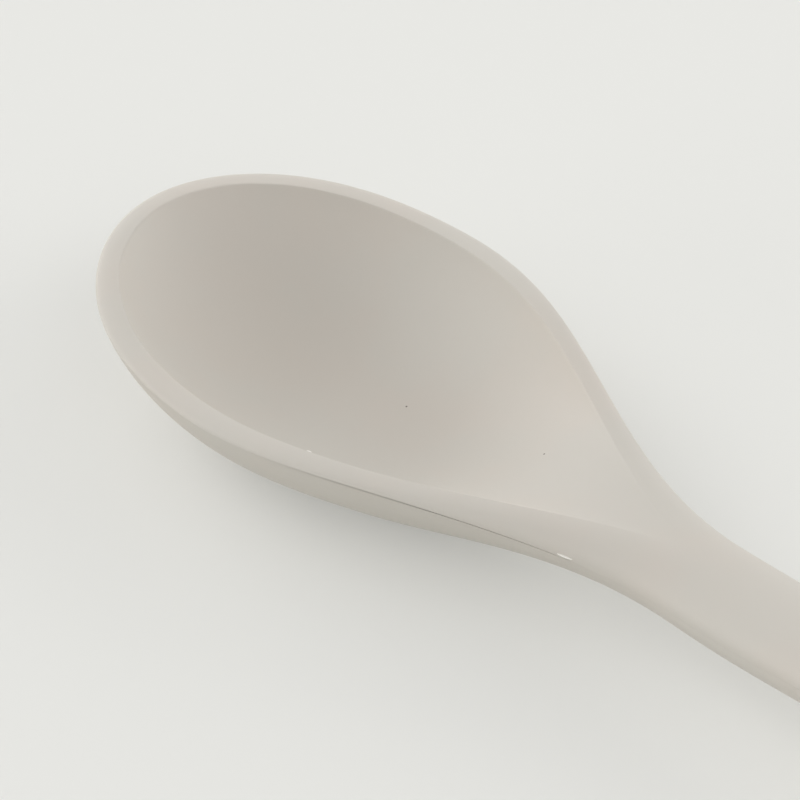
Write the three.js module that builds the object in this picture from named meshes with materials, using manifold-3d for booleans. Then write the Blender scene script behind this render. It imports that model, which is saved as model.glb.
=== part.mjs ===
// Silicone serving spoon: a stiff nylon core inside a silicone jacket. The jacket is an upper and a lower skin that
// meet along the parting line, which runs round the outline just below the rim. Posts of the lower skin pass through
// holes in the core and lock the three pieces together.
// Millimetres, +Z up, tip of the bowl towards -X, handle towards +X. The origin is on the flat under the bowl, on the
// plane that the spoon rests on. A station is a distance along the spoon from the tip of the bowl.
import * as THREE from 'three';
import { mergeVertices } from 'three/addons/utils/BufferGeometryUtils.js';
import Module from 'manifold-3d';

const wasm = await Module();
wasm.setup();
const { clamp, degToRad, lerp, smoothstep } = THREE.MathUtils;

// Plan outline
const LENGTH = 300;
const BOWL_WIDTH = 62;
const WIDEST_STATION = 43.3;
const TIP_FULLNESS = 0.02;
const NECK_STATION = 118.2;
const NECK_WIDTH = 16.2;
const END_WIDTH = 19;
const END_ROUND = 11;

// Height of the parting line over the table, from the tip to the arch of the handle
const TIP_HEIGHT = 20.7;
const BOWL_STATION = 35;
const BOWL_HEIGHT = 18.9;
const SHOULDER_STATION = 70;
const SHOULDER_HEIGHT = 18.7;
const THROAT_STATION = 100;
const THROAT_HEIGHT = 15.6;
const SADDLE_STATION = 130;
const SADDLE_HEIGHT = 15.3;
const GRIP_STATION = 165;
const GRIP_HEIGHT = 18.6;
const ARCH_STATION = 210;
const ARCH_HEIGHT = 20.5;

// Underside
const REST_STATION = 44;
const REST_CUT = 0.45;
const TIP_KEEL_RADIUS = 90;
const KEEL_RADIUS = 200;
const OUTER_WALL_ANGLE = 80;
const HANDLE_BELOW = 7;
const THROAT_START = 68;
const KEEL_END = 128;

// Upper side: rim land, hollow of the bowl and crown of the handle
const RIM_WIDTH = 3.8;
const RIM_HEIGHT = 1;
const RIM_SQUARENESS = 2.6;
const BOWL_WALL = 5.2;
const HOLLOW_WALL_ANGLE = 75;
const HOLLOW_TAPER = 1.6;
const HOLLOW_END = 118.5;
const FLOOR_RISE_STATION = 60;
const HANDLE_ABOVE = 4.5;
const CROWN_SQUARENESS = 2.2;

// Core, its locking holes and the bond between the pieces
const BOND_GAP = 0.3;
const PLATE_THICKNESS = 1.6;
const PLATE_INSET = 6;
const SPINE_THICKNESS = 5;
const SPINE_INSET = 2.7;
const CORE_TO_HANG_HOLE = 8;
const LOCK_HOLE = 5;
const LOCK_RING_RADIUS = 15;
const LOCK_RING_COUNT = 6;
const LOCK_ROW_STATION = 140;
const LOCK_ROW_TO_CORE_END = 27.5;
const LOCK_ROW_COUNT = 5;

// Hanging hole
const HANG_HOLE = 9;
const HANG_FROM_END = 20;
const HANG_LIP = 1.2;

// Facets
const RIB_TURN = 0.65;
const TIP_STEPS = 12;
const BOWL_STEPS = 14;
const HANDLE_STEPS = 9;
const END_STEPS = 6;
const RIM_STEPS = 5;
const HOLLOW_STEPS = 6;
const CREST_SHARE = 0.7;
const WALL_STEPS = 8;
const MIDDLE_STEPS = 5;
const CORE_STEPS = 4;
const ROUND_SIDES = 24;
const LIP_STEPS = 4;
const SLOPE_STEP = 0.05;
const MERGE_TOLERANCE = 1e-4;

const bowlHalf = BOWL_WIDTH / 2;
const endStation = LENGTH - END_ROUND;
const hangStation = LENGTH - HANG_FROM_END;
const coreEnd = hangStation - HANG_HOLE / 2 - CORE_TO_HANG_HOLE;
const outerWallSine = Math.sin(degToRad(OUTER_WALL_ANGLE));
const hollowWallSine = Math.sin(degToRad(HOLLOW_WALL_ANGLE));

// Natural cubic spline through [station, height] knots, straight past its last knot.
function naturalSpline(knots) {
  const last = knots.length - 1;
  const bend = new Array(last + 1).fill(0);
  const load = new Array(last + 1).fill(0);
  for (let i = 1; i < last; i++) {
    const [[x0, z0], [x1, z1], [x2, z2]] = knots.slice(i - 1, i + 2);
    const share = (x1 - x0) / (x2 - x0);
    const pivot = share * bend[i - 1] + 2;
    const kink = (z2 - z1) / (x2 - x1) - (z1 - z0) / (x1 - x0);
    bend[i] = (share - 1) / pivot;
    load[i] = (6 * kink / (x2 - x0) - share * load[i - 1]) / pivot;
  }
  for (let i = last - 1; i > 0; i--) {
    bend[i] = bend[i] * bend[i + 1] + load[i];
  }
  const [lastStation, lastHeight] = knots[last];
  const lastGap = lastStation - knots[last - 1][0];
  const lastSlope = (lastHeight - knots[last - 1][1]) / lastGap + lastGap * bend[last - 1] / 6;
  return (x) => {
    if (x > lastStation) {
      return lastHeight + lastSlope * (x - lastStation);
    }
    const i = Math.max(1, knots.findIndex(([station]) => x <= station));
    const [[x0, z0], [x1, z1]] = knots.slice(i - 1, i + 1);
    const gap = x1 - x0;
    const a = (x1 - x) / gap;
    const b = (x - x0) / gap;
    const sag = (a ** 3 - a) * bend[i - 1] + (b ** 3 - b) * bend[i];
    return a * z0 + b * z1 + sag * gap * gap / 6;
  };
}

// Rise of a round wall from its level middle, u = 0, to its edge, u = 1, where the sine of its slope is given.
function wallRise(u, edgeSine) {
  const rise = (sine) => 1 - Math.sqrt(Math.max(0, 1 - sine * sine));
  return rise(edgeSine * u) / rise(edgeSine);
}

// The parting line comes down at the end of the handle, so that the underside there rests on the table too.
const partingHeight = naturalSpline([
  [0, TIP_HEIGHT],
  [BOWL_STATION, BOWL_HEIGHT],
  [SHOULDER_STATION, SHOULDER_HEIGHT],
  [THROAT_STATION, THROAT_HEIGHT],
  [SADDLE_STATION, SADDLE_HEIGHT],
  [GRIP_STATION, GRIP_HEIGHT],
  [ARCH_STATION, ARCH_HEIGHT],
  [LENGTH - END_ROUND / 2, HANDLE_BELOW - REST_CUT],
]);

// Underside along the axis: the keel of the bowl, which curves up more towards the tip, then a fixed depth under the
// handle's parting line.
function keelHeight(station) {
  const radius = station < REST_STATION ? TIP_KEEL_RADIUS : KEEL_RADIUS;
  const bowl = (station - REST_STATION) ** 2 / (2 * radius) - REST_CUT;
  const handle = partingHeight(station) - HANDLE_BELOW;
  return lerp(bowl, handle, smoothstep(station, THROAT_START, KEEL_END));
}

// Upper side along the axis: the floor of the hollow, rising through the throat to the crown of the handle.
function floorHeight(station) {
  const bowl = keelHeight(station) + BOWL_WALL;
  const handle = partingHeight(station) + HANDLE_ABOVE;
  return lerp(bowl, handle, smoothstep(station, FLOOR_RISE_STATION, HOLLOW_END));
}

// Widening of the tip's ellipse between its end and its sides.
const tipSwell = (turn) => 1 + TIP_FULLNESS * Math.sin(2 * turn) ** 2;

// Half the width of the outline between the widest station and the rounded end.
function halfWidth(station) {
  const shoulder = clamp((station - WIDEST_STATION) / (NECK_STATION - WIDEST_STATION), 0, 1);
  const flare = (BOWL_WIDTH - NECK_WIDTH) / 4 * (1 + Math.cos(Math.PI * shoulder));
  const swell = (END_WIDTH - NECK_WIDTH) / 2 * smoothstep(station, GRIP_STATION, endStation);
  return NECK_WIDTH / 2 + flare + swell;
}

// Half the width of the hollow, inside the rim land. It runs to a point in the throat.
function hollowHalfWidth(station) {
  const half = bowlHalf - RIM_WIDTH;
  if (station < WIDEST_STATION) {
    const turn = Math.acos(clamp((WIDEST_STATION - station) / (WIDEST_STATION - RIM_WIDTH), 0, 1));
    return half * Math.sin(turn) * tipSwell(turn);
  }
  const along = clamp((station - WIDEST_STATION) / (HOLLOW_END - WIDEST_STATION), 0, 1);
  return half * Math.max(0, Math.cos(Math.PI / 2 * along)) ** HOLLOW_TAPER;
}

// A rib is a straight line in plan from the outline to its focus on the axis. An inset is a distance along it.
function makeRib(station, half, focus) {
  const reach = Math.hypot(focus - station, half);
  let inside = 1;
  let outside = 0;
  while (inside - outside > MERGE_TOLERANCE) {
    const share = (inside + outside) / 2;
    const hollowHalf = hollowHalfWidth(lerp(station, focus, share));
    const onLand = half * (1 - share) + MERGE_TOLERANCE > hollowHalf;
    outside = onLand ? share : outside;
    inside = onLand ? inside : share;
  }
  const handleShare = smoothstep(station, THROAT_START, HOLLOW_END);
  const seam = partingHeight(station);
  const rise = lerp(RIM_HEIGHT, HANDLE_ABOVE, handleShare);
  return {
    station,
    half,
    focus,
    reach,
    handleShare,
    seam,
    rimInset: inside * reach,
    crest: seam + rise,
    innerCrest: partingHeight(station > endStation ? focus : station) + rise,
    squareness: lerp(RIM_SQUARENESS, CROWN_SQUARENESS, handleShare),
    wallSine: lerp(outerWallSine, 1, handleShare),
    keelAtEdge: keelHeight(station),
    floorAtRim: floorHeight(lerp(station, focus, inside)),
  };
}

const stationAt = (rib, inset) => lerp(rib.station, rib.focus, inset / rib.reach);

// Ribs from the tip to a station on the handle. Those of the tip fan out from the widest station, the others run nearly
// square to the outline.
function ribsTo(station) {
  const ribs = [];
  for (let i = 0; i < TIP_STEPS; i++) {
    const turn = Math.PI / 2 * i / TIP_STEPS;
    ribs.push(makeRib(
      WIDEST_STATION * (1 - Math.cos(turn)),
      bowlHalf * Math.sin(turn) * tipSwell(turn),
      WIDEST_STATION,
    ));
  }
  const bodyRib = (x) => {
    const slope = (halfWidth(x + SLOPE_STEP) - halfWidth(x - SLOPE_STEP)) / (2 * SLOPE_STEP);
    ribs.push(makeRib(x, halfWidth(x), x + RIB_TURN * halfWidth(x) * slope));
  };
  for (let i = 0; i < BOWL_STEPS; i++) {
    bodyRib(lerp(WIDEST_STATION, SADDLE_STATION, i / BOWL_STEPS));
  }
  for (let i = 0; i <= HANDLE_STEPS; i++) {
    bodyRib(lerp(SADDLE_STATION, station, i / HANDLE_STEPS));
  }
  return ribs;
}

// All the ribs of the jacket, with the rounded end of the handle.
function jacketRibs() {
  const ribs = ribsTo(endStation);
  const half = END_WIDTH / 2;
  for (let i = 1; i <= END_STEPS; i++) {
    const turn = Math.PI / 2 * i / END_STEPS;
    const station = endStation + END_ROUND * Math.sin(turn);
    const width = i < END_STEPS ? half * Math.cos(turn) : 0;
    ribs.push(makeRib(station, width, station - RIB_TURN * half ** 2 / END_ROUND * Math.sin(turn)));
  }
  return ribs;
}

// Upper side at an inset: the round of the rim or the crown, then the wall of the hollow, which stands on its floor.
// In the rounded end of the handle the crown slopes with the parting line.
function upperHeight(rib, inset) {
  const edge = rib.seam + BOND_GAP / 2;
  if (inset <= rib.rimInset) {
    const out = 1 - inset / rib.rimInset;
    const crest = lerp(rib.innerCrest, rib.crest, out);
    return edge + (crest - edge) * (1 - out ** rib.squareness) ** (1 / rib.squareness);
  }
  const u = (rib.reach - inset) / (rib.reach - rib.rimInset);
  const wall = (rib.crest - rib.floorAtRim) * wallRise(u, hollowWallSine);
  return floorHeight(stationAt(rib, inset)) + wall;
}

// Lower side at an inset: the outer wall, which stands on the keel.
function lowerHeight(rib, inset) {
  const edge = rib.seam - BOND_GAP / 2;
  const wall = (edge - rib.keelAtEdge) * wallRise(1 - inset / rib.reach, rib.wallSine);
  return keelHeight(stationAt(rib, inset)) + wall;
}

const middleHeight = (rib, inset) => (upperHeight(rib, inset) + lowerHeight(rib, inset)) / 2;

// Half the core's thickness measured upright, so that it stays even across a sloping wall. On the axis it is level.
function coreHalf(rib, inset, clearance) {
  const thickness = lerp(PLATE_THICKNESS, SPINE_THICKNESS, rib.handleShare);
  const drop = middleHeight(rib, inset) - middleHeight(rib, inset - SLOPE_STEP);
  const slope = inset < rib.reach ? drop / SLOPE_STEP : 0;
  return (thickness / 2 + clearance) * Math.hypot(1, slope);
}

// Insets at which each surface is divided
function evenInsets(from, to, steps) {
  return Array.from({ length: steps + 1 }, (_, i) => lerp(from, to, i / steps));
}

function upperInsets(rib) {
  const edge = Math.min(rib.rimInset, CREST_SHARE * rib.reach);
  const insets = [];
  for (let i = 0; i < RIM_STEPS; i++) {
    const turn = Math.PI / 2 * i / RIM_STEPS;
    insets.push(edge * (1 - Math.cos(turn) ** (2 / rib.squareness)));
  }
  return [...insets, ...evenInsets(edge, rib.reach, HOLLOW_STEPS)];
}

function lowerInsets(rib) {
  const insets = [0];
  for (let i = 1; i < WALL_STEPS; i++) {
    const lean = Math.asin(rib.wallSine) * (1 - i / WALL_STEPS);
    insets.push(rib.reach * (1 - Math.sin(lean) / rib.wallSine));
  }
  return [...insets, rib.reach];
}

const middleInsets = (rib) => evenInsets(0, rib.reach, MIDDLE_STEPS);

// Rows of points, one for each rib, on the side of the axis with Y positive.
function surfaceRows(ribs, insetsOf, heightOf) {
  return ribs.map((rib) => insetsOf(rib).map((inset) => {
    const y = rib.half * (1 - inset / rib.reach);
    return [stationAt(rib, inset) - REST_STATION, y, heightOf(rib, inset)];
  }));
}

// Closed solid between an upper and a lower surface, mirrored over the axis. Its rows start on the same outline, or
// on a side wall, and where the last row isn't on the axis it ends in a flat face.
function layeredSolid(ribs, top, bottom) {
  const positions = [];
  const quad = (a, b, c, d, side) => {
    const corners = side > 0 ? [a, b, c, a, c, d] : [a, c, b, a, d, c];
    corners.forEach(([x, y, z]) => positions.push(x, side * y, z));
  };
  for (const side of [1, -1]) {
    for (let i = 0; i + 1 < ribs.length; i++) {
      for (let j = 0; j + 1 < top[i].length; j++) {
        quad(top[i][j], top[i][j + 1], top[i + 1][j + 1], top[i + 1][j], side);
      }
      for (let j = 0; j + 1 < bottom[i].length; j++) {
        quad(bottom[i][j], bottom[i + 1][j], bottom[i + 1][j + 1], bottom[i][j + 1], side);
      }
      quad(top[i][0], top[i + 1][0], bottom[i + 1][0], bottom[i][0], side);
    }
    const end = ribs.length - 1;
    for (let j = 0; ribs[end].half > 0 && j + 1 < top[end].length; j++) {
      quad(top[end][j], top[end][j + 1], bottom[end][j + 1], bottom[end][j], side);
    }
  }
  const geometry = new THREE.BufferGeometry();
  geometry.setAttribute('position', new THREE.Float32BufferAttribute(positions, 3));
  return solidOf(geometry);
}

// Closed mesh as a solid that can be joined and cut, with its shared points merged.
function solidOf(geometry) {
  const bare = geometry.clone();
  bare.deleteAttribute('normal');
  bare.deleteAttribute('uv');
  const merged = mergeVertices(bare, MERGE_TOLERANCE);
  const index = merged.getIndex().array;
  const triangles = [];
  for (let i = 0; i < index.length; i += 3) {
    const [a, b, c] = index.slice(i, i + 3);
    if (a !== b && b !== c && c !== a) {
      triangles.push(a, b, c);
    }
  }
  return new wasm.Manifold(new wasm.Mesh({
    numProp: 3,
    vertProperties: new Float32Array(merged.getAttribute('position').array),
    triVerts: new Uint32Array(triangles),
  }));
}

function geometryOf(solid) {
  const mesh = solid.getMesh();
  const geometry = new THREE.BufferGeometry();
  geometry.setAttribute('position', new THREE.Float32BufferAttribute(mesh.vertProperties, 3));
  geometry.setIndex(Array.from(mesh.triVerts));
  geometry.computeVertexNormals();
  return geometry;
}

// Rows that start further out, on the line through their first two points.
function widened(rows, distance) {
  return rows.map(([first, second, ...rest]) => {
    const share = distance / Math.hypot(first[0] - second[0], first[1] - second[1]);
    return [first.map((value, i) => value + share * (value - second[i])), second, ...rest];
  });
}

// The core, or with a clearance the cavity that it lies in.
function coreSolid(clearance) {
  const ribs = ribsTo(coreEnd + clearance);
  const insets = (rib) => evenInsets(lerp(PLATE_INSET, SPINE_INSET, rib.handleShare), rib.reach, CORE_STEPS);
  const face = (side) => {
    const height = (rib, inset) => middleHeight(rib, inset) + side * coreHalf(rib, inset, clearance);
    return widened(surfaceRows(ribs, insets, height), clearance);
  };
  return { ribs, top: face(1), bottom: face(-1) };
}

const lowered = (rows, drop) => rows.map((row) => row.map(([x, y, z]) => [x, y, z - drop]));

// Upright rods at the locking holes: a ring in the bowl and a row along the handle.
function lockRods(diameter) {
  const places = [];
  for (let i = 0; i < LOCK_RING_COUNT; i++) {
    const turn = 2 * Math.PI * i / LOCK_RING_COUNT;
    places.push([LOCK_RING_RADIUS * Math.cos(turn), LOCK_RING_RADIUS * Math.sin(turn)]);
  }
  const lastStation = coreEnd - LOCK_ROW_TO_CORE_END;
  for (let i = 0; i < LOCK_ROW_COUNT; i++) {
    const share = LOCK_ROW_COUNT > 1 ? i / (LOCK_ROW_COUNT - 1) : 0;
    places.push([lerp(LOCK_ROW_STATION, lastStation, share) - REST_STATION, 0]);
  }
  return places.map(([x, y]) => {
    const rod = new THREE.CylinderGeometry(diameter / 2, diameter / 2, LENGTH, ROUND_SIDES);
    rod.rotateX(Math.PI / 2);
    rod.translate(x, y, 0);
    return solidOf(rod);
  });
}

// The space of the hanging hole, square to the handle, with a round lip at each face.
function hangHoleSolid() {
  const radius = HANG_HOLE / 2;
  const profile = [new THREE.Vector2(0, LENGTH), new THREE.Vector2(radius + HANG_LIP, LENGTH)];
  for (let i = 0; i <= LIP_STEPS; i++) {
    const turn = Math.PI / 2 * i / LIP_STEPS;
    const out = radius + HANG_LIP * (1 - Math.sin(turn));
    profile.push(new THREE.Vector2(out, HANDLE_ABOVE - HANG_LIP * (1 - Math.cos(turn))));
  }
  for (let i = LIP_STEPS; i >= 0; i--) {
    const turn = Math.PI / 2 * i / LIP_STEPS;
    const out = radius + HANG_LIP * (1 - Math.sin(turn));
    profile.push(new THREE.Vector2(out, HANG_LIP * (1 - Math.cos(turn)) - HANDLE_BELOW));
  }
  profile.push(new THREE.Vector2(radius + HANG_LIP, -LENGTH), new THREE.Vector2(0, -LENGTH));
  const slope = (partingHeight(hangStation + 1) - partingHeight(hangStation - 1)) / 2;
  const hole = new THREE.LatheGeometry(profile.reverse(), ROUND_SIDES);
  hole.rotateX(Math.PI / 2);
  hole.rotateY(-Math.atan(slope));
  hole.translate(hangStation - REST_STATION, 0, partingHeight(hangStation));
  return solidOf(hole);
}

// Everything below the table, which leaves a flat under the bowl and one under the end of the handle.
function belowTable() {
  const block = new THREE.BoxGeometry(2 * LENGTH, 2 * BOWL_WIDTH, BOWL_WIDTH);
  block.translate(LENGTH / 2, 0, -BOWL_WIDTH / 2);
  return solidOf(block);
}

const ribs = jacketRibs();
const hangHole = hangHoleSolid();
const cavity = coreSolid(BOND_GAP);
const cavitySolid = layeredSolid(cavity.ribs, cavity.top, cavity.bottom);
const postSpace = layeredSolid(cavity.ribs, lowered(cavity.top, BOND_GAP), lowered(cavity.bottom, BOND_GAP));

const upperFace = surfaceRows(ribs, upperInsets, upperHeight);
const upperBond = surfaceRows(ribs, middleInsets, (rib, inset) => middleHeight(rib, inset) + BOND_GAP / 2);
const upperSkin = layeredSolid(ribs, upperFace, upperBond).subtract(cavitySolid).subtract(hangHole);

const lowerFace = surfaceRows(ribs, lowerInsets, lowerHeight);
const lowerBond = surfaceRows(ribs, middleInsets, (rib, inset) => middleHeight(rib, inset) - BOND_GAP / 2);
const lowerShell = layeredSolid(ribs, lowerBond, lowerFace).subtract(cavitySolid).subtract(hangHole);
const posts = lockRods(LOCK_HOLE - 2 * BOND_GAP).map((rod) => rod.intersect(postSpace));
const lowerSkin = posts.reduce((skin, post) => skin.add(post), lowerShell).subtract(belowTable());

const plate = coreSolid(0);
const blankCore = layeredSolid(plate.ribs, plate.top, plate.bottom);
const core = lockRods(LOCK_HOLE).reduce((solid, rod) => solid.subtract(rod), blankCore);

// Finishes
const silicone = { color: '#cdc8bf', roughness: 0.62, metalness: 0 };
const nylon = { color: '#d8d0bd', roughness: 0.5, metalness: 0 };

function makeMesh(name, solid, finish) {
  const mesh = new THREE.Mesh(geometryOf(solid), new THREE.MeshStandardMaterial(finish));
  mesh.name = name;
  return mesh;
}

const spoon = new THREE.Group();
spoon.add(makeMesh('nylon_core', core, nylon));
spoon.add(makeMesh('upper_skin', upperSkin, silicone));
spoon.add(makeMesh('lower_skin', lowerSkin, silicone));

export default spoon;
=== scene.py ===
import math

import bmesh
import bpy
from mathutils import Matrix, Vector


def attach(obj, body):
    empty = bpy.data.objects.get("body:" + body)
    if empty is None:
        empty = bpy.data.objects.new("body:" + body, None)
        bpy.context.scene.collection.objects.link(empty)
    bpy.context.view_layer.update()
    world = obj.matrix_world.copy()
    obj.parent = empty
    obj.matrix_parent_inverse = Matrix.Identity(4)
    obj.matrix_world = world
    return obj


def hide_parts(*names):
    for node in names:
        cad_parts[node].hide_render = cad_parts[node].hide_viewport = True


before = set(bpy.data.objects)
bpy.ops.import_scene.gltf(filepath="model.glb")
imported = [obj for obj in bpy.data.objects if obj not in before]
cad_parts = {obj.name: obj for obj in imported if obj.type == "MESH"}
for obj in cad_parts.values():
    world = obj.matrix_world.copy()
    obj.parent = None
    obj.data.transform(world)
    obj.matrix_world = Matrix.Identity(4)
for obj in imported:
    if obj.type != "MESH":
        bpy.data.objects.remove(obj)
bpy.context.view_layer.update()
print("frame loaded:", ", ".join(sorted(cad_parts)))

mm = 0.001


# a socket that can stand in a sum, so that node maths reads as plain expressions
class Value:
    def __init__(self, maker, socket):
        self.maker = maker
        self.socket = socket

    def __add__(self, other):
        return self.maker.sum("ADD", self, other)

    def __radd__(self, other):
        return self.maker.sum("ADD", other, self)

    def __sub__(self, other):
        return self.maker.sum("SUBTRACT", self, other)

    def __rsub__(self, other):
        return self.maker.sum("SUBTRACT", other, self)

    def __mul__(self, other):
        return self.maker.sum("MULTIPLY", self, other)

    def __rmul__(self, other):
        return self.maker.sum("MULTIPLY", other, self)

    def __truediv__(self, other):
        return self.maker.sum("DIVIDE", self, other)

    def __rtruediv__(self, other):
        return self.maker.sum("DIVIDE", other, self)

    def __pow__(self, other):
        return self.maker.sum("POWER", self, other)


class NodeMaker:
    def __init__(self, tree):
        self.tree = tree

    # any node: its type, its settings first, then the values or links of its sockets
    def node(self, kind, settings=None, sockets=None, out=0):
        made = self.tree.nodes.new(kind)
        for name, value in (settings or {}).items():
            setattr(made, name, value)
        for name, value in (sockets or {}).items():
            self.feed(made.inputs[name], value)
        return Value(self, made.outputs[out])

    def feed(self, socket, value):
        if isinstance(value, Value):
            self.tree.links.new(value.socket, socket)
        else:
            socket.default_value = value

    def sum(self, operation, *values):
        return self.node("ShaderNodeMath", {"operation": operation}, dict(enumerate(values)))

    def root(self, value):
        return self.sum("SQRT", self.sum("MAXIMUM", value, 0.0))

    def blend(self, a, b, share):
        return a + (b - a) * share

    def ease(self, value, low, high):
        return self.node("ShaderNodeMapRange", {"interpolation_type": "SMOOTHSTEP"},
                         {"Value": value, "From Min": low, "From Max": high})

    def mixColour(self, share, a, b):
        return self.node("ShaderNodeMix", {"data_type": "RGBA"}, {0: share, 6: a, 7: b}, out=2)


def lerp(a, b, share):
    return a + (b - a) * share


def smoothStep(x, low, high):
    t = min(1.0, max(0.0, (x - low) / (high - low)))
    return t * t * (3 - 2 * t)


def srgb(red, green, blue):
    def toLinear(c):
        c = c / 255
        return c / 12.92 if c <= 0.04045 else ((c + 0.055) / 1.055) ** 2.4
    return (toLinear(red), toLinear(green), toLinear(blue), 1.0)


# jacket: sizes in mm, stations count from the tip of the bowl
jacket = dict(
    # outline in plan
    length=300, bowlWidth=62, widestStation=43.3, tipFullness=0.02,
    neckStation=118.2, neckWidth=16.2, swellStart=165, endWidth=19, endRound=11,
    # parting line: station and height
    partingLine=[(0, 20.7), (35, 18.9), (70, 18.7), (100, 15.6), (130, 15.3), (165, 18.6), (210, 20.5)],
    seamGapBowl=0.09, seamGap=0.015, seamOpens=(54, 76), seamCloses=(96, 105),
    # underside
    restStation=44, restCut=0.45, restRound=0.3, tipKeelRadius=90, keelRadius=200, outerWallAngle=80,
    throatStart=68, keelEnd=128, handleBelow=7,
    # rim land, hollow and crown of the handle
    rimWidth=3.8, rimHeight=1.0, rimSquareness=2.6, edgeRound=0.5,
    bowlWall=5.2, hollowWallAngle=75, hollowTaper=1.6, hollowEnd=118.5, hollowPast=1.17, hollowFade=(0.1, 1.0),
    floorRise=60, handleAbove=4.5, crownSquareness=2.2,
    # seat of the core
    bondGap=0.3, plateThickness=1.6, plateInset=6, spineThickness=5, spineInset=2.7, coreEnd=267.5, coreReach=0.9,
    # ribs, and rows across them
    ribTurn=0.65, tipRibs=64, bowlRibs=110, handleRibs=60, endRibs=20, neckEnd=130,
    upperRows=56, lowerRows=40, innerRows=22, landShare=0.4, landReach=0.7, flatShare=0.3,
    profileStep=0.5, slopeStep=0.05, widthStep=0.01, mergeGap=0.002, sharpAngle=38,
)


def naturalSpline(knots):
    last = len(knots) - 1
    bend = [0.0] * (last + 1)
    load = [0.0] * (last + 1)
    for i in range(1, last):
        (x0, z0), (x1, z1), (x2, z2) = knots[i - 1:i + 2]
        share = (x1 - x0) / (x2 - x0)
        pivot = share * bend[i - 1] + 2
        kink = (z2 - z1) / (x2 - x1) - (z1 - z0) / (x1 - x0)
        bend[i] = (share - 1) / pivot
        load[i] = (6 * kink / (x2 - x0) - share * load[i - 1]) / pivot
    for i in range(last - 1, 0, -1):
        bend[i] = bend[i] * bend[i + 1] + load[i]
    lastGap = knots[last][0] - knots[last - 1][0]
    lastSlope = (knots[last][1] - knots[last - 1][1]) / lastGap + lastGap * bend[last - 1] / 6

    def height(x):
        if x > knots[last][0]:
            return knots[last][1] + lastSlope * (x - knots[last][0])
        i = max(1, next(k for k, knot in enumerate(knots) if x <= knot[0]))
        (x0, z0), (x1, z1) = knots[i - 1], knots[i]
        gap = x1 - x0
        a, b = (x1 - x) / gap, (x - x0) / gap
        return a * z0 + b * z1 + ((a ** 3 - a) * bend[i - 1] + (b ** 3 - b) * bend[i]) * gap * gap / 6
    return height


endStation = jacket["length"] - jacket["endRound"]
lastKnot = (jacket["length"] - jacket["endRound"] / 2, jacket["handleBelow"] - jacket["restCut"])
partingHeight = naturalSpline(jacket["partingLine"] + [lastKnot])


def keelHeight(x):
    radius = jacket["tipKeelRadius"] if x < jacket["restStation"] else jacket["keelRadius"]
    bowl = (x - jacket["restStation"]) ** 2 / (2 * radius) - jacket["restCut"]
    handle = partingHeight(x) - jacket["handleBelow"]
    return lerp(bowl, handle, smoothStep(x, jacket["throatStart"], jacket["keelEnd"]))


def floorHeight(x):
    crown = partingHeight(x) + jacket["handleAbove"]
    return lerp(keelHeight(x) + jacket["bowlWall"], crown, smoothStep(x, jacket["floorRise"], jacket["hollowEnd"]))


def tipSwell(turn):
    return 1 + jacket["tipFullness"] * math.sin(2 * turn) ** 2


def halfWidth(x):
    shoulder = (x - jacket["widestStation"]) / (jacket["neckStation"] - jacket["widestStation"])
    flare = (jacket["bowlWidth"] - jacket["neckWidth"]) / 4 * (1 + math.cos(math.pi * min(1, max(0, shoulder))))
    swell = (jacket["endWidth"] - jacket["neckWidth"]) / 2 * smoothStep(x, jacket["swellStart"], endStation)
    return jacket["neckWidth"] / 2 + flare + swell


def hollowHalf(x):
    half = jacket["bowlWidth"] / 2 - jacket["rimWidth"]
    widest = jacket["widestStation"]
    if x < widest:
        turn = math.acos(min(1, max(0, (widest - x) / (widest - jacket["rimWidth"]))))
        return half * math.sin(turn) * tipSwell(turn)
    along = min(1, (x - widest) / (jacket["hollowEnd"] - widest))
    return half * max(0, math.cos(math.pi / 2 * along)) ** jacket["hollowTaper"]


# a rib runs in plan from the outline to its focus on the axis
def makeRib(station, half, focus, hasCore):
    reach = math.hypot(focus - station, half)
    inside, outside = 1.0, 0.0
    while inside - outside > 1e-5:
        share = (inside + outside) / 2
        if half * (1 - share) + 1e-4 > hollowHalf(lerp(station, focus, share)):
            outside = share
        else:
            inside = share
    handleShare = smoothStep(station, jacket["throatStart"], jacket["hollowEnd"])
    seam = partingHeight(station)
    outerSine = math.sin(math.radians(jacket["outerWallAngle"]))
    coreEdge = lerp(jacket["plateInset"], jacket["spineInset"], handleShare) - jacket["bondGap"]
    coreHalf = lerp(jacket["plateThickness"], jacket["spineThickness"], handleShare) / 2 + jacket["bondGap"]
    rise = lerp(jacket["rimHeight"], jacket["handleAbove"], handleShare)
    innerCrest = partingHeight(focus if station > endStation else station) + rise
    seamOpen = smoothStep(station, *jacket["seamOpens"]) * (1 - smoothStep(station, *jacket["seamCloses"]))
    seamGap = lerp(jacket["seamGap"], jacket["seamGapBowl"], seamOpen)
    return dict(
        station=(station - jacket["restStation"]) * mm, half=half * mm, seam=seam * mm,
        focus=(focus - jacket["restStation"]) * mm, reach=reach * mm, rimInset=inside * reach * mm,
        crest=(seam + rise) * mm, innerCrest=innerCrest * mm,
        squareness=lerp(jacket["rimSquareness"], jacket["crownSquareness"], handleShare),
        wallSine=lerp(outerSine, 1, handleShare), hollowShare=1 - handleShare,
        keelAtEdge=keelHeight(station) * mm, floorAtRim=floorHeight(lerp(station, focus, inside)) * mm,
        seamGap=seamGap * mm,
        coreEdge=min(coreEdge, jacket["coreReach"] * reach) * mm, coreHalf=coreHalf * mm, hasCore=float(hasCore),
    )


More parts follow.
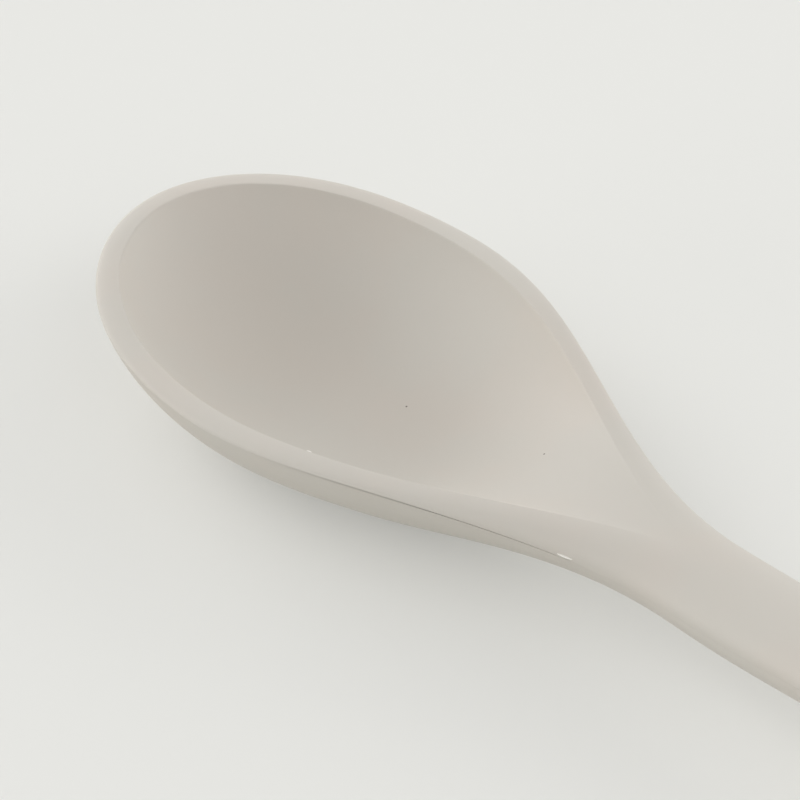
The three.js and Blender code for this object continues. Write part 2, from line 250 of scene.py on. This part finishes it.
def jacketRibs():
    ribs = []
    bowlHalf, widest = jacket["bowlWidth"] / 2, jacket["widestStation"]
    for i in range(jacket["tipRibs"]):
        turn = math.pi / 2 * i / jacket["tipRibs"]
        ribs.append(makeRib(widest * (1 - math.cos(turn)), bowlHalf * math.sin(turn) * tipSwell(turn),
                            widest, True))

    def bodyRib(x, hasCore):
        step = jacket["widthStep"]
        slope = (halfWidth(x + step) - halfWidth(x - step)) / (2 * step)
        ribs.append(makeRib(x, halfWidth(x), x + jacket["ribTurn"] * halfWidth(x) * slope, hasCore))

    coreEnd = jacket["coreEnd"] + jacket["bondGap"]
    for i in range(jacket["bowlRibs"]):
        bodyRib(lerp(widest, jacket["neckEnd"], i / jacket["bowlRibs"]), True)
    for i in range(jacket["handleRibs"] + 1):
        bodyRib(lerp(jacket["neckEnd"], coreEnd, i / jacket["handleRibs"]), True)
    for i in range(jacket["endRibs"]):
        bodyRib(lerp(coreEnd, endStation, i / jacket["endRibs"]), False)
    half = jacket["endWidth"] / 2
    for i in range(jacket["endRibs"] + 1):
        turn = math.pi / 2 * i / jacket["endRibs"]
        width = half * math.cos(turn) if i < jacket["endRibs"] else 0.0
        station = endStation + jacket["endRound"] * math.sin(turn)
        focus = station - jacket["ribTurn"] * half ** 2 / jacket["endRound"] * math.sin(turn)
        ribs.append(makeRib(station, width, focus, False))
    return ribs


# a path of points, each with sizes of its own
def sizedPath(name, points, rows):
    mesh = bpy.data.meshes.new(name)
    mesh.from_pydata(points, [(i, i + 1) for i in range(len(points) - 1)], [])
    for field in rows[0]:
        mesh.attributes.new(field, "FLOAT", "POINT").data.foreach_set("value", [row[field] for row in rows])
    path = bpy.data.objects.new(name, mesh)
    bpy.context.scene.collection.objects.link(path)
    return path


# keel and floor along the axis
def axisProfile():
    stations = [i * jacket["profileStep"] for i in range(int(jacket["length"] / jacket["profileStep"]) + 2)]
    rows = [dict(keelLine=keelHeight(x) * mm, floorLine=floorHeight(x) * mm) for x in stations]
    points = [((x - jacket["restStation"]) * mm, 0, row["floorLine"]) for x, row in zip(stations, rows)]
    return sizedPath("axisProfile", points, rows)


# geometry nodes that raise a skin on the ribs of the outline: an outer face and a face along the core
def skinTree(name, isUpper):
    tree = bpy.data.node_groups.new(name, "GeometryNodeTree")
    for label, kind in (("Outline", "Geometry"), ("Profile", "Object"), ("Profile Step", "Float"),
                        ("Profile Start", "Float"), ("Rib Count", "Int"), ("Outer Rows", "Int"),
                        ("Inner Rows", "Int"), ("Hollow Wall Sine", "Float"), ("Edge Round", "Float"),
                        ("Rest Round", "Float"), ("Finish", "Material")):
        tree.interface.new_socket(label, in_out="INPUT", socket_type="NodeSocket" + kind)
    tree.interface.new_socket("Skin", in_out="OUTPUT", socket_type="NodeSocketGeometry")
    n = NodeMaker(tree)
    groupIn = tree.nodes.new("NodeGroupInput")
    given = {socket.name: Value(n, socket) for socket in groupIn.outputs if socket.name}
    sign = 1 if isUpper else -1

    profile = n.node("GeometryNodeObjectInfo", None, {"Object": given["Profile"]}, out="Geometry")

    def sampled(geometry, field, index):
        value = n.node("GeometryNodeInputNamedAttribute", {"data_type": "FLOAT"}, {"Name": field})
        return n.node("GeometryNodeSampleIndex", {"data_type": "FLOAT", "domain": "POINT"},
                      {"Geometry": geometry, "Value": value, "Index": index})

    # height of the keel or the floor under a point, between two points of the profile
    def lineHeight(field, x):
        along = (x - given["Profile Start"]) / given["Profile Step"]
        first = n.sum("FLOOR", along)
        return n.blend(sampled(profile, field, first), sampled(profile, field, first + 1), along - first)

    def placeAlong(rib, inset):
        return n.blend(rib["station"], rib["focus"], inset / rib["reach"])

    def wallRise(u, sine):
        flat = n.root(1 - sine * sine)
        return (1 - n.root(1 - sine * sine * u * u)) / (1 - flat)

    def upperHeight(rib, inset):
        edge = rib["seam"] + rib["seamGap"] * 0.5
        out = n.sum("MAXIMUM", 1 - inset / rib["rimInset"], 0.0)
        crest = n.blend(rib["innerCrest"], rib["crest"], out)
        land = edge + (crest - edge) * (1 - out ** rib["squareness"]) ** (1 / rib["squareness"])
        room = n.sum("MAXIMUM", rib["reach"] - rib["rimInset"], 1e-6)
        u = n.sum("MINIMUM", (rib["reach"] - inset) / room, jacket["hollowPast"])
        rise = (rib["crest"] - rib["floorAtRim"]) * wallRise(u, given["Hollow Wall Sine"])
        wall = lineHeight("floorLine", placeAlong(rib, inset)) + rise
        rounding = given["Edge Round"] * rib["hollowShare"] + 1e-6
        joined = n.sum("SMOOTH_MIN", land, wall, rounding)
        return n.blend(land, joined, n.ease(room, *[c * mm for c in jacket["hollowFade"]]))

    def lowerHeight(rib, inset):
        edge = rib["seam"] - rib["seamGap"] * 0.5
        rise = (edge - rib["keelAtEdge"]) * wallRise(1 - inset / rib["reach"], rib["wallSine"])
        return lineHeight("keelLine", placeAlong(rib, inset)) + rise

    def middleHeight(rib, inset):
        return (upperHeight(rib, inset) + lowerHeight(rib, inset)) * 0.5

    # a flat grid, one line of points for each rib, from one side of the outline to the other
    def sheet(rows, place):
        grid = n.node("GeometryNodeMeshGrid", None, {
            "Size X": given["Rib Count"] - 1, "Size Y": rows * 2,
            "Vertices X": given["Rib Count"], "Vertices Y": rows * 2 + 1})
        spot = tree.nodes.new("ShaderNodeSeparateXYZ")
        n.feed(spot.inputs[0], n.node("GeometryNodeInputPosition"))
        index = n.sum("ROUND", Value(n, spot.outputs[0]) + (given["Rib Count"] - 1) * 0.5)
        across = n.sum("ROUND", Value(n, spot.outputs[1]))
        rib = {field: sampled(given["Outline"], field, index) for field in ribs[0]}
        row = rows - n.sum("ABSOLUTE", across)
        inset, height = place(rib, row, rows)
        y = n.sum("SIGN", across) * rib["half"] * (1 - inset / rib["reach"])
        spotNow = n.node("ShaderNodeCombineXYZ", None, {0: placeAlong(rib, inset), 1: y, 2: height})
        placed = n.node("GeometryNodeSetPosition", None, {"Geometry": grid, "Position": spotNow})
        return n.node("GeometryNodeStoreNamedAttribute", {"data_type": "FLOAT", "domain": "POINT"},
                      {"Geometry": placed, "Name": "inset", "Value": inset})

    # rows lie close together at the outline and at the inner edge of the rim land
    def upperFace(rib, row, rows):
        t = row / rows
        landShare = jacket["landShare"]
        s = n.sum("MINIMUM", t / landShare, 1.0)
        b = n.sum("MAXIMUM", (t - landShare) / (1 - landShare), 0.0)
        edge = n.sum("MINIMUM", rib["rimInset"], rib["reach"] * jacket["landReach"])
        spread = s ** 2.2 - s ** 3.2 + 2 * s * s - s * s * s
        inset = edge * spread + (rib["reach"] - edge) * b * b
        return inset, upperHeight(rib, inset)

    def lowerFace(rib, row, rows):
        lean = n.sum("ARCSINE", rib["wallSine"]) * (1 - row / rows)
        inset = rib["reach"] * (1 - n.sum("SINE", lean) / rib["wallSine"])
        return inset, n.sum("SMOOTH_MAX", lowerHeight(rib, inset), 0.0, given["Rest Round"])

    # flat along the parting line, then a step up to the seat of the core
    def innerFace(rib, row, rows):
        land = n.sum("FLOOR", rows * jacket["flatShare"])
        inCore = n.sum("GREATER_THAN", row, land + 0.5) * rib["hasCore"]
        onLand = rib["coreEdge"] * n.sum("MINIMUM", row / land, 1.0)
        past = n.sum("MAXIMUM", row - land - 1, 0.0) / (rows - land - 1)
        inset = onLand + (rib["reach"] - rib["coreEdge"]) * past
        middle = middleHeight(rib, inset)
        step = jacket["slopeStep"] * mm
        slope = (middle - middleHeight(rib, inset - step)) / step
        seat = rib["coreHalf"] * n.root(1 + slope * slope)
        return inset, middle + sign * n.blend(rib["seamGap"] * 0.5, seat, inCore)

    outer = sheet(given["Outer Rows"], upperFace if isUpper else lowerFace)
    inner = sheet(given["Inner Rows"], innerFace)
    turned = n.node("GeometryNodeFlipFaces", None, {"Mesh": inner if isUpper else outer})
    joined = tree.nodes.new("GeometryNodeJoinGeometry")
    for part in (turned, outer if isUpper else inner):
        tree.links.new(part.socket, joined.inputs[0])
    merged = n.node("GeometryNodeMergeByDistance", None,
                    {"Geometry": Value(n, joined.outputs[0]), "Distance": jacket["mergeGap"] * mm})
    smooth = n.node("GeometryNodeSetShadeSmooth", None, {"Geometry": merged, "Shade Smooth": True})
    real = n.node("GeometryNodeRealizeInstances", None, {"Geometry": smooth})
    done = n.node("GeometryNodeSetMaterial", None, {"Geometry": real, "Material": given["Finish"]})
    tree.links.new(done.socket, tree.nodes.new("NodeGroupOutput").inputs[0])
    return tree


# turns what the modifiers make into a plain mesh and takes the modifiers off
def makePlain(piece):
    graph = bpy.context.evaluated_depsgraph_get()
    mesh = bpy.data.meshes.new_from_object(piece.evaluated_get(graph), preserve_all_data_layers=True, depsgraph=graph)
    piece.modifiers.clear()
    piece.data = mesh
    mesh.name = piece.name


def setInputs(modifier, values):
    for item in modifier.node_group.interface.items_tree:
        if item.item_type == "SOCKET" and item.in_out == "INPUT" and item.name in values:
            modifier[item.identifier] = values[item.name]


# hanging hole: a turned cutter with a round lip at each face, square to the handle
hanging = dict(hole=9, fromEnd=20, lip=1.2, lipSteps=10, sides=96, past=8)


def holeCutter():
    radius, lip = hanging["hole"] / 2, hanging["lip"]
    above, below = jacket["handleAbove"], -jacket["handleBelow"]
    profile = [(0, above + hanging["past"]), (radius + lip, above + hanging["past"])]
    for i in range(hanging["lipSteps"] + 1):
        turn = math.pi / 2 * i / hanging["lipSteps"]
        profile.append((radius + lip * (1 - math.sin(turn)), above - lip * (1 - math.cos(turn))))
    for i in range(hanging["lipSteps"], -1, -1):
        turn = math.pi / 2 * i / hanging["lipSteps"]
        profile.append((radius + lip * (1 - math.sin(turn)), below + lip * (1 - math.cos(turn))))
    profile += [(radius + lip, below - hanging["past"]), (0, below - hanging["past"])]
    station = jacket["length"] - hanging["fromEnd"]
    slope = (partingHeight(station + 1) - partingHeight(station - 1)) / 2
    shape = bmesh.new()
    line = [shape.verts.new((r * mm, 0, z * mm)) for r, z in profile]
    edges = [shape.edges.new(pair) for pair in zip(line, line[1:])]
    bmesh.ops.spin(shape, geom=line + edges, cent=(0, 0, 0), axis=(0, 0, 1), angle=2 * math.pi,
                   steps=hanging["sides"], use_duplicate=False)
    bmesh.ops.remove_doubles(shape, verts=shape.verts, dist=1e-7)
    bmesh.ops.recalc_face_normals(shape, faces=shape.faces)
    place = Matrix.Translation(((station - jacket["restStation"]) * mm, 0, partingHeight(station) * mm))
    halfFacet = Matrix.Rotation(math.pi / hanging["sides"], 4, "Z")  # keeps its edges off the skins' middle row
    shape.transform(place @ Matrix.Rotation(-math.atan(slope), 4, "Y") @ halfFacet)
    mesh = bpy.data.meshes.new("holeCutter")
    shape.to_mesh(mesh)
    shape.free()
    mesh.materials.append(matteSilicone)
    cutter = bpy.data.objects.new("holeCutter", mesh)
    bpy.context.scene.collection.objects.link(cutter)
    return cutter


# finishes
silicone = dict(base=srgb(198, 193, 184), warm=srgb(199, 192, 183), cool=srgb(197, 193, 185),
                baseShare=0.35, cloudScale=38, cloudEdges=(0.35, 0.65), grainScale=5200,
                roughness=0.58, cloudRoughness=0.05, grainRoughness=0.04, specular=0.35, bump=0.12, bumpDepth=0.00002,
                speck=srgb(92, 84, 74), specks=[(9.2, 5.37, 5.39), (38.58, 4.9, 14.06)], speckRadius=0.17)


def siliconeFinish():
    material = bpy.data.materials.new("matteSilicone")
    material.use_nodes = True
    n = NodeMaker(material.node_tree)
    shader = material.node_tree.nodes["Principled BSDF"]
    place = n.node("ShaderNodeTexCoord", out=3)
    cloud = n.node("ShaderNodeTexNoise", None,
                   {"Vector": place, "Scale": silicone["cloudScale"], "Detail": 4.0, "Roughness": 0.55})
    grain = n.node("ShaderNodeTexNoise", None,
                   {"Vector": place, "Scale": silicone["grainScale"], "Detail": 2.0, "Roughness": 0.6})
    colour = n.mixColour(n.ease(cloud, *silicone["cloudEdges"]), silicone["warm"], silicone["cool"])
    colour = n.mixColour(silicone["baseShare"], colour, silicone["base"])
    # dark grains in the moulding
    for spot in silicone["specks"]:
        away = n.node("ShaderNodeVectorMath", {"operation": "DISTANCE"},
                      {0: place, 1: [c * mm for c in spot]}, out="Value")
        edge = silicone["speckRadius"] * mm
        colour = n.mixColour(1 - n.ease(away, edge * 0.5, edge * 1.3), colour, silicone["speck"])
    n.feed(shader.inputs["Base Color"], colour)
    rough = silicone["roughness"] + (cloud - 0.5) * silicone["cloudRoughness"]
    n.feed(shader.inputs["Roughness"], rough + (grain - 0.5) * silicone["grainRoughness"])
    bump = n.node("ShaderNodeBump", None,
                  {"Strength": silicone["bump"], "Distance": silicone["bumpDepth"], "Height": grain})
    n.feed(shader.inputs["Normal"], bump)
    shader.inputs["Specular IOR Level"].default_value = silicone["specular"]
    return material


nylon = dict(base=srgb(216, 208, 189), shade=srgb(207, 198, 178), flowScale=60, flowEdges=(0.3, 0.7), grainScale=900,
             roughness=0.5, roughnessSpread=0.15, bump=0.2, bumpDepth=0.00003)


def nylonFinish():
    material = bpy.data.materials.new("creamNylon")
    material.use_nodes = True
    n = NodeMaker(material.node_tree)
    shader = material.node_tree.nodes["Principled BSDF"]
    place = n.node("ShaderNodeTexCoord", out=3)
    grain = n.node("ShaderNodeTexNoise", None, {"Vector": place, "Scale": nylon["grainScale"], "Detail": 3.0})
    flow = n.node("ShaderNodeTexNoise", None, {"Vector": place, "Scale": nylon["flowScale"], "Detail": 2.0})
    n.feed(shader.inputs["Base Color"],
           n.mixColour(n.ease(flow, *nylon["flowEdges"]), nylon["base"], nylon["shade"]))
    n.feed(shader.inputs["Roughness"], nylon["roughness"] + (grain - 0.5) * nylon["roughnessSpread"])
    bump = n.node("ShaderNodeBump", None,
                  {"Strength": nylon["bump"], "Distance": nylon["bumpDepth"], "Height": grain})
    n.feed(shader.inputs["Normal"], bump)
    return material


# painted light: silicone so thin that light comes through it, drawn as an opaque paler colour
thinSilicone = dict(base=srgb(240, 238, 232), roughness=0.45)


def paintedLightFinish():
    material = bpy.data.materials.new("thinSilicone")
    material.use_nodes = True
    shader = material.node_tree.nodes["Principled BSDF"]
    shader.inputs["Base Color"].default_value = thinSilicone["base"]
    shader.inputs["Roughness"].default_value = thinSilicone["roughness"]
    return material


matteSilicone = siliconeFinish()
paintedLightMaterial = paintedLightFinish()
creamNylon = nylonFinish()
print("finishes made")

ribs = jacketRibs()
profileLine = axisProfile()
cutter = holeCutter()


def makeSkin(name, node, isUpper, rows):
    skin = sizedPath(name, [(rib["station"], rib["half"], rib["seam"]) for rib in ribs], ribs)
    maker = skin.modifiers.new("skin", "NODES")
    maker.node_group = skinTree(name + "Tree", isUpper)
    setInputs(maker, {
        "Profile": profileLine, "Profile Step": jacket["profileStep"] * mm,
        "Profile Start": -jacket["restStation"] * mm,
        "Rib Count": len(ribs), "Outer Rows": rows, "Inner Rows": jacket["innerRows"],
        "Hollow Wall Sine": math.sin(math.radians(jacket["hollowWallAngle"])),
        "Edge Round": jacket["edgeRound"] * mm, "Rest Round": jacket["restRound"] * mm,
        "Finish": matteSilicone})
    makePlain(skin)
    cut = skin.modifiers.new("hangingHole", "BOOLEAN")
    cut.object = cutter
    cut.operation = "DIFFERENCE"
    cut.solver = "EXACT"
    makePlain(skin)
    skin.data.set_sharp_from_angle(angle=math.radians(jacket["sharpAngle"]))
    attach(skin, "root")
    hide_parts(node)
    print(name, len(skin.data.polygons), "faces")
    return skin


upperSkin = makeSkin("upperSkin", "upper_skin", True, jacket["upperRows"])
lowerSkin = makeSkin("lowerSkin", "lower_skin", False, jacket["lowerRows"])
for helper in (cutter, profileLine):
    bpy.data.objects.remove(helper)

# posts of the lower skin: a ring in the bowl and a row along the handle, each through a hole of the core
posts = dict(diameter=4.4, sides=32, ringRadius=15, ringCount=6, rowStart=140, rowEnd=240, rowCount=5, gap=0.3,
             probe=100)


def postTree():
    tree = bpy.data.node_groups.new("postTree", "GeometryNodeTree")
    for label, kind in (("Places", "Geometry"), ("Radius", "Float"), ("Sides", "Int"), ("Finish", "Material")):
        tree.interface.new_socket(label, in_out="INPUT", socket_type="NodeSocket" + kind)
    tree.interface.new_socket("Posts", in_out="OUTPUT", socket_type="NodeSocketGeometry")
    n = NodeMaker(tree)
    groupIn = tree.nodes.new("NodeGroupInput")
    given = {socket.name: Value(n, socket) for socket in groupIn.outputs if socket.name}
    post = n.node("GeometryNodeMeshCylinder", None,
                  {"Vertices": given["Sides"], "Radius": given["Radius"], "Depth": 1.0})
    rise = n.node("GeometryNodeInputNamedAttribute", {"data_type": "FLOAT"}, {"Name": "rise"})
    size = n.node("ShaderNodeCombineXYZ", None, {0: 1.0, 1: 1.0, 2: rise})
    spots = n.node("GeometryNodeMeshToPoints", None, {"Mesh": given["Places"]})
    stood = n.node("GeometryNodeInstanceOnPoints", None, {"Points": spots, "Instance": post, "Scale": size})
    real = n.node("GeometryNodeRealizeInstances", None, {"Geometry": stood})
    done = n.node("GeometryNodeSetMaterial", None, {"Geometry": real, "Material": given["Finish"]})
    tree.links.new(done.socket, tree.nodes.new("NodeGroupOutput").inputs[0])
    return tree


# lowest height at which a line up or down first meets a skin, over a post's width
def seatHeight(skin, x, y, way):
    radius = posts["diameter"] / 2
    heights = []
    for dx, dy in ((0, 0), (radius, 0), (-radius, 0), (0, radius), (0, -radius)):
        start = Vector(((x + dx) * mm, (y + dy) * mm, -way * posts["probe"] * mm))
        heights.append(skin.ray_cast(start, Vector((0, 0, way)))[1].z)
    return min(heights)


def makePosts():
    spots = []
    for i in range(posts["ringCount"]):
        turn = 2 * math.pi * i / posts["ringCount"]
        spots.append((posts["ringRadius"] * math.cos(turn), posts["ringRadius"] * math.sin(turn)))
    for i in range(posts["rowCount"]):
        station = lerp(posts["rowStart"], posts["rowEnd"], i / (posts["rowCount"] - 1))
        spots.append((station - jacket["restStation"], 0.0))
    points, rows = [], []
    for x, y in spots:
        low = seatHeight(lowerSkin, x, y, -1) - posts["gap"] * mm
        high = seatHeight(upperSkin, x, y, 1) - posts["gap"] * mm
        points.append((x * mm, y * mm, (low + high) / 2))
        rows.append(dict(rise=high - low))
    made = sizedPath("lockPosts", points, rows)
    maker = made.modifiers.new("posts", "NODES")
    maker.node_group = postTree()
    setInputs(maker, {"Radius": posts["diameter"] / 2 * mm, "Sides": posts["sides"], "Finish": matteSilicone})
    makePlain(made)
    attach(made, "root")
    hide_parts("lower_skin")


makePosts()

# traces of the mould: a sliver of flash on the parting line and a burr on the inner edge of the rim land
slivers = dict(
    partingFlash=dict(place=(57.1, -10.97, 16.0), along=(0.951, 0.3, -0.068), size=(1.2, 0.2, 0.1)),
    edgeBurr=dict(place=(17.96, -23.9, 19.76), along=(0.93, 0.36, 0.0), size=(0.45, 0.14, 0.16)),
)


def makeSliver(name, spec):
    shape = bmesh.new()
    bmesh.ops.create_icosphere(shape, subdivisions=4, radius=1.0)
    along = Vector(spec["along"]).normalized()
    across = Vector((0, 0, 1)).cross(along).normalized()
    turn = Matrix((along, across, along.cross(across))).transposed().to_4x4()
    size = Matrix.Diagonal([c * mm for c in spec["size"]] + [1.0])
    shape.transform(Matrix.Translation([c * mm for c in spec["place"]]) @ turn @ size)
    mesh = bpy.data.meshes.new(name)
    shape.to_mesh(mesh)
    shape.free()
    mesh.shade_smooth()
    # painted light: the slivers get a pale colour that stands in for light shining through the thin silicone
    mesh.materials.append(paintedLightMaterial)
    made = bpy.data.objects.new(name, mesh)
    bpy.context.scene.collection.objects.link(made)
    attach(made, "root")
    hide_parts("upper_skin")


for name, spec in slivers.items():
    makeSliver(name, spec)
print("posts and mould traces made")

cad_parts["nylon_core"].data.materials.clear()
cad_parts["nylon_core"].data.materials.append(creamNylon)
print("skins and core finished")

# table, light and camera
table = dict(size=6.0, colour=srgb(233, 233, 229), shade=srgb(231, 231, 227), cloudScale=9, roughness=0.85,
             specular=0.2, pale=srgb(230, 230, 226), paleShare=0.35)


# 1 where the background is looked at, straight or in a reflection, and 0 where it lights the spoon
def lookedAt(n):
    looks = 0
    for ray in ("Is Camera Ray", "Is Glossy Ray", "Is Transmission Ray"):
        looks = looks + n.node("ShaderNodeLightPath", out=ray)
    return n.sum("MINIMUM", looks, 1.0)


def makeTable():
    mesh = bpy.data.meshes.new("table")
    half = table["size"] / 2
    mesh.from_pydata([(-half, -half, 0), (half, -half, 0), (half, half, 0), (-half, half, 0)], [], [(0, 1, 2, 3)])
    top = bpy.data.objects.new("table", mesh)
    bpy.context.scene.collection.objects.link(top)
    material = bpy.data.materials.new("paleTable")
    material.use_nodes = True
    n = NodeMaker(material.node_tree)
    shader = material.node_tree.nodes["Principled BSDF"]
    place = n.node("ShaderNodeTexCoord", out=3)
    cloud = n.node("ShaderNodeTexNoise", None, {"Vector": place, "Scale": table["cloudScale"], "Detail": 2.0})
    n.feed(shader.inputs["Base Color"], n.mixColour(cloud, table["colour"], table["shade"]))
    shader.inputs["Roughness"].default_value = table["roughness"]
    shader.inputs["Specular IOR Level"].default_value = table["specular"]
    glow = n.node("ShaderNodeEmission", None, {"Color": table["pale"], "Strength": 1.0})
    share = lookedAt(n) * table["paleShare"]
    mixed = n.node("ShaderNodeMixShader", None, {0: share, 1: Value(n, shader.outputs[0]), 2: glow})
    n.feed(material.node_tree.nodes["Material Output"].inputs["Surface"], mixed)
    mesh.materials.append(material)


# wide soft lights, each with the direction that it comes from
lights = dict(
    farRight=dict(azimuth=45, elevation=15, spread=50, level=0.397),
    farSide=dict(azimuth=90, elevation=15, spread=50, level=0.196),
    farLeft=dict(azimuth=135, elevation=15, spread=50, level=0.178),
    tipSide=dict(azimuth=180, elevation=15, spread=50, level=0.36),
    tipHigh=dict(azimuth=180, elevation=40, spread=50, level=0.16),
    handleSide=dict(azimuth=0, elevation=40, spread=50, level=0.2),
    nearLeft=dict(azimuth=225, elevation=40, spread=50, level=0.237),
    nearRight=dict(azimuth=315, elevation=40, spread=50, level=0.119),
    nearLow=dict(azimuth=247.5, elevation=4, spread=36, level=0.33),
)
lightColour = (0.998, 1.0, 1.006)
worldLight = dict(colour=(1.01, 0.995, 0.972), strength=0.2, seen=0.77)


def makeLight(name, spec):
    data = bpy.data.lights.new(name, "SUN")
    data.angle = math.radians(spec["spread"])
    data.energy = math.pi * spec["level"]
    data.color = lightColour
    lamp = bpy.data.objects.new(name, data)
    bpy.context.scene.collection.objects.link(lamp)
    azimuth, elevation = math.radians(spec["azimuth"]), math.radians(spec["elevation"])
    towards = Vector((math.cos(azimuth) * math.cos(elevation), math.sin(azimuth) * math.cos(elevation),
                      math.sin(elevation)))
    lamp.rotation_euler = towards.to_track_quat("Z", "Y").to_euler()


def makeWorld():
    world = bpy.data.worlds.new("room")
    world.use_nodes = True
    n = NodeMaker(world.node_tree)
    background = world.node_tree.nodes["Background"]
    background.inputs["Color"].default_value = (*worldLight["colour"], 1.0)
    n.feed(background.inputs["Strength"], n.blend(worldLight["strength"], worldLight["seen"], lookedAt(n)))
    bpy.context.scene.world = world


view = dict(azimuth=44.756, elevation=40.489, target=(0.002929, 0.01025, 0.0), distance=0.482476, lens=135.889,
            sensor=36, clipStart=0.01)


def makeCamera():
    data = bpy.data.cameras.new("camera")
    data.sensor_width = view["sensor"]
    data.lens = view["lens"]
    data.clip_start = view["clipStart"]
    camera = bpy.data.objects.new("camera", data)
    bpy.context.scene.collection.objects.link(camera)
    azimuth, elevation = math.radians(view["azimuth"]), math.radians(view["elevation"])
    back = Vector((math.sin(azimuth) * math.cos(elevation), -math.cos(azimuth) * math.cos(elevation),
                   math.sin(elevation)))
    camera.location = Vector(view["target"]) + back * view["distance"]
    camera.rotation_euler = back.to_track_quat("Z", "Y").to_euler()
    bpy.context.scene.camera = camera


makeTable()
for name, spec in lights.items():
    makeLight(name, spec)
makeWorld()
makeCamera()
bpy.context.scene.view_settings.view_transform = "Standard"
print("table, light and camera set")
